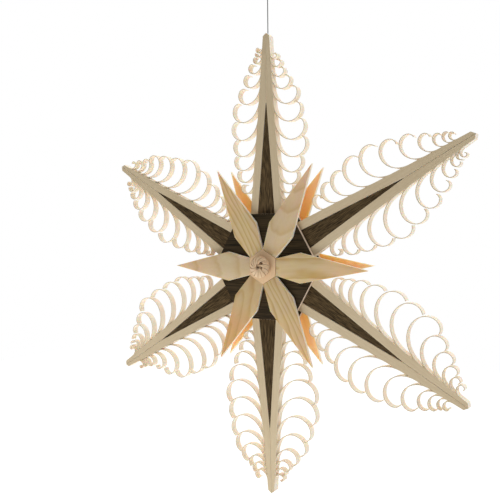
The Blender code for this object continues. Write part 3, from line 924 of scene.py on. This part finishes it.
def petal_board(petal, side):
    inner = CAP_APOTHEM + GLUE_LINE
    inner_half = inner * math.tan(HALF_SIDE_ANGLE) - GLUE_LINE
    reach = PETAL_REACH + petal.extra
    bend = petal.tip_shift * (PETAL_SHOULDER - inner) / (reach - inner)
    outline = (
        (-inner_half, inner), (bend - PETAL_HALF_WIDTH, PETAL_SHOULDER), (petal.tip_shift, reach),
        (bend + PETAL_HALF_WIDTH, PETAL_SHOULDER), (inner_half, inner))
    bm = new_board(outline, side * PETAL_BACK, side * PETAL_FACE)
    soften(bm)
    return bm


for (word, side), petals in zip(FACES, (FRONT_PETALS, BACK_PETALS)):
    for k, petal in enumerate(petals):
        bm = petal_board(petal, side)
        write_grain(bm, petal.pith, NEXT_PETAL * k + side * OTHER_FACE)
        turn_into_place(bm, (k + 0.5) * RAY_ANGLE)
        for face in bm.faces:
            # Back petals' faces turned to the front get the painted amber glow of light coming through
            # from behind.
            turned_in = side > 0 and face.normal.y < 0
            # Every edge gets the pale shaved wood as a painted highlight, as if lit from behind.
            face.material_index = EDGE_HIGHLIGHT if is_edge(face) else INNER_GLOW if turned_in else FACE_WOOD
        add_piece(bm, f"{word}_petal_board_{k + 1}", f"{word}_petal_{k + 1}",
                  (petal.wood, painted_glow_pine, shaved_wood))
    print(word, "petals glued on")

# %% [markdown]
# ## Rosettes
# In the middle of each face sits a small wooden flower: a round stub whose sides are shaved up into
# two rings of curls that bend inwards. One curl could be copied round, but cut curls differ: each has its
# own length and width and tilts a little over its neighbour, and two in each ring broke off short. A curl
# is extruded from one wall of the stub along a smooth path, and every step is turned a little further
# round, which gives the whorl.

# %% The paths of the curls
ROSETTE_RADIUS = 0.0084
ROSETTE_HEIGHT = 0.0075
OUTER_CURL = ((0.62, 0.15), (0.89, 0.24), (0.99, 0.46), (0.90, 0.70), (0.66, 0.87), (0.40, 0.93),
              (0.15, 0.88))
INNER_CURL = ((0.31, 0.58), (0.34, 0.67), (0.27, 0.76), (0.08, 0.78))
SMOOTHING = 4


def smooth_path(points):
    """Catmull-Rom points between the given ones, so that a few shares make a round curl."""
    points = [Vector(p) for p in points]
    padded = [points[0] * 2 - points[1], *points, points[-1] * 2 - points[-2]]
    path = []
    for a, b, c, d in zip(padded, padded[1:], padded[2:], padded[3:]):
        for k in range(SMOOTHING):
            t = k / SMOOTHING
            path.append(((2 * b) + (c - a) * t + (2 * a - 5 * b + 4 * c - d) * t ** 2
                         + (3 * b - a - 3 * c + d) * t ** 3) / 2)
    return path + [points[-1]]


print("an outer curl has", len(smooth_path(OUTER_CURL)), "points")

# %% Raise a curl
ROSETTE_CURLS = 13
ROSETTE_POST = 0.0030
CURL_THICKNESS = 0.0005
CURL_WIDTH = 0.95
CURL_LAND = 0.08
SWIRL = math.radians(9)
SHORTEST_CURL = 0.88
NARROWEST_CURL = 0.8
CURL_TILT = 0.0002
CURL_STEP = 0.06
ROSETTE_SEED = 2708
flaws = random.Random(ROSETTE_SEED)


def out_and_aside(angle):
    """The directions away from the stub and round it, at an angle."""
    return Vector((math.cos(angle), math.sin(angle), 0)), Vector((-math.sin(angle), math.cos(angle), 0))


def either(positive, amount):
    return amount if positive else -amount


def raise_curl(bm, wall, ring, longest):
    """Extrude one wall of the stub along a ring's path, turning as it goes."""
    layer = bm.verts.layers.float_vector["grain"]
    bmesh.ops.inset_individual(bm, faces=[wall], thickness=CURL_LAND * ROSETTE_POST)
    centre = wall.calc_center_median()
    turn = math.atan2(centre.y, centre.x)
    _, aside = out_and_aside(turn)
    beside = [(v.co - centre).dot(aside) > 0 for v in wall.verts]
    above = [v.co.z > centre.z for v in wall.verts]
    path = smooth_path(ring)
    path = path[:round(len(path) * longest * flaws.uniform(SHORTEST_CURL, 1))]
    width = CURL_WIDTH * 2 * math.pi / ROSETTE_CURLS * flaws.uniform(NARROWEST_CURL, 1)
    step = flaws.uniform(-CURL_STEP, 0)
    before = Vector((centre.xy.length / ROSETTE_RADIUS, centre.z / ROSETTE_HEIGHT))
    run = 0
    for k, here in enumerate(path):
        heading = ((path[k + 1] if k + 1 < len(path) else here * 2 - before) - before).normalized()
        outward, tangent = out_and_aside(turn + SWIRL * (1 + k / SMOOTHING))
        rise = Vector((0, 0, heading.x)) - outward * heading.y
        half = width / 2 * here.x * ROSETTE_RADIUS
        middle = outward * here.x * ROSETTE_RADIUS
        middle.z = (here.y + step * k / len(path)) * ROSETTE_HEIGHT
        wall = bmesh.ops.extrude_discrete_faces(bm, faces=[wall])["faces"][0]
        for i, v in enumerate(wall.verts):
            lift = rise * either(above[i], CURL_THICKNESS / 2)
            lift += rise * here.x * either(beside[i], CURL_TILT)
            v.co = middle + tangent * either(beside[i], half) + lift
            v[layer] = (either(beside[i], half), run, turn)
        run += (here - before).length * ROSETTE_RADIUS
        before = here


print("a curl is up to", in_mm(CURL_WIDTH * 2 * math.pi / ROSETTE_CURLS * ROSETTE_RADIUS), "mm wide")

# %% Shave the rosettes
POST_SHAPE = ((1, 0.08), (1, 0.24), (1, 0.46), (0.75, 0.58))
CUT_SHORT = {9: 0.70, 11: 0.76}


def rosette_stub(bm):
    """A round stub that is extruded band by band, and the walls of each band."""
    base = bmesh.ops.create_circle(bm, cap_ends=True, segments=ROSETTE_CURLS, radius=ROSETTE_POST)["verts"]
    top = base[0].link_faces[0]
    walls = []
    for share, height in POST_SHAPE:
        grown = bmesh.ops.extrude_face_region(bm, geom=[top])["geom"]
        if walls:
            bmesh.ops.delete(bm, geom=[top], context="FACES_ONLY")
        top = next(item for item in grown if isinstance(item, bmesh.types.BMFace))
        for v in top.verts:
            v.co = Vector((v.co.x, v.co.y, 0)).normalized() * share * ROSETTE_POST
            v.co.z = height * ROSETTE_HEIGHT
        walls.append({face for edge in top.edges for face in edge.link_faces} - {top})
    return walls


def rosette(side):
    bm = empty_board()
    _, lower, _, upper = rosette_stub(bm)
    for band, ring in ((lower, OUTER_CURL), (upper, INNER_CURL)):
        in_turn = sorted(band, key=lambda face: math.atan2(*face.calc_center_median().xy))
        for k, wall in enumerate(in_turn):
            raise_curl(bm, wall, ring, CUT_SHORT.get(k, 1))
    bmesh.ops.recalc_face_normals(bm, faces=bm.faces[:])
    outwards = Vector((0, 0, 1)).rotation_difference(Vector((0, side, 0))).to_matrix()
    bmesh.ops.rotate(bm, verts=bm.verts[:], matrix=outwards)
    bmesh.ops.translate(bm, verts=bm.verts[:], vec=HUB + Vector((0, side * (CAP_FACE + GLUE_LINE), 0)))
    for face in bm.faces:
        face.smooth = True
    return bm


for word, side in FACES:
    flower = add_piece(rosette(side), f"{word}_curled_rosette", f"{word}_rosette",
                       (rosette_wood,))
    print(word, "rosette:", len(flower.data.polygons), "faces")

# %% [markdown]
# ## Floor, light and background
# The star hangs free in front of white. Stronger lamps could whiten the background, but they would bleach
# the wood. So a camera ray sees the floor and the world as white, while the light on the star stays plain:
# a world that is brighter behind the star than in front of it, which comes through the thin shavings, a
# small lamp low in front, and wide soft ones at the right and above. A pale floor keeps the faint shadow.

# %% Lay the floor
FLOOR_HEIGHT = -0.95
FLOOR_SIZE = 3
FLOOR_GLOW = 0.45
FLOOR_ROUGHNESS = 0.9
PALE_GREY = (0.9, 0.9, 0.9, 1)
WHITE = (1, 1, 1, 1)
bm = bmesh.new()
bmesh.ops.create_grid(bm, x_segments=1, y_segments=1, size=FLOOR_SIZE)
bmesh.ops.translate(bm, verts=bm.verts[:], vec=(0, 0, FLOOR_HEIGHT))
floor_mesh = bpy.data.meshes.new("floor")
bm.to_mesh(floor_mesh)
bm.free()
floor = bpy.data.objects.new("floor", floor_mesh)
scene.collection.objects.link(floor)
pale_floor, tree, shader = new_finish("pale_floor")
shader.inputs["Base Color"].default_value = PALE_GREY
shader.inputs["Roughness"].default_value = FLOOR_ROUGHNESS
shader.inputs["Emission Color"].default_value = WHITE
seen = tree.nodes.new("ShaderNodeLightPath")
glow = math_node(tree, "MULTIPLY", seen.outputs["Is Camera Ray"], FLOOR_GLOW)
tree.links.new(glow, shader.inputs["Emission Strength"])
floor_mesh.materials.append(pale_floor)
print("floor at", FLOOR_HEIGHT, "m")

# %% Light the world
FRONT_LIGHT = 0.20
BACK_LIGHT = 1.15
world = bpy.data.worlds.new("white_world")
scene.world = world
world.use_nodes = True
tree = world.node_tree
sky = tree.nodes["Background"]
sky.inputs["Color"].default_value = WHITE
facing = tree.nodes.new("ShaderNodeSeparateXYZ")
tree.links.new(tree.nodes.new("ShaderNodeTexCoord").outputs["Generated"], facing.inputs[0])
seen = tree.nodes.new("ShaderNodeLightPath")
direct = math_node(tree, "MAXIMUM", seen.outputs["Is Camera Ray"], seen.outputs["Is Transmission Ray"])
direct = math_node(tree, "MAXIMUM", direct, seen.outputs["Is Glossy Ray"])
indirect = math_node(tree, "SUBTRACT", 1, direct)
front_to_back = remap(tree, facing.outputs["Y"], -1, 1, FRONT_LIGHT, BACK_LIGHT)
glow = math_node(tree, "MULTIPLY", front_to_back, indirect)
tree.links.new(math_node(tree, "ADD", glow, direct), sky.inputs["Strength"])
print("world:", FRONT_LIGHT, "in front to", BACK_LIGHT, "behind")

# %% Hang the lamps
LAMPS = (
    ("low_front_lamp", (-0.10, -0.42, -0.50), 0.40, 2.25),
    ("right_lamp", (1.1, 0.1, 0.1), 0.9, 2),
    ("top_lamp", (-0.1, 0.15, 1.2), 1.2, 7),
)


def soft_lamp(name, place, size, power):
    """A square lamp at a place seen from the hub, turned to the hub."""
    lamp = bpy.data.lights.new(name, "AREA")
    lamp.size = size
    lamp.energy = power
    item = bpy.data.objects.new(name, lamp)
    scene.collection.objects.link(item)
    item.location = HUB + Vector(place)
    item.rotation_euler = (-Vector(place)).to_track_quat("-Z", "Y").to_euler()


for name, place, size, power in LAMPS:
    soft_lamp(name, place, size, power)
    print(name, "of", power, "watts")
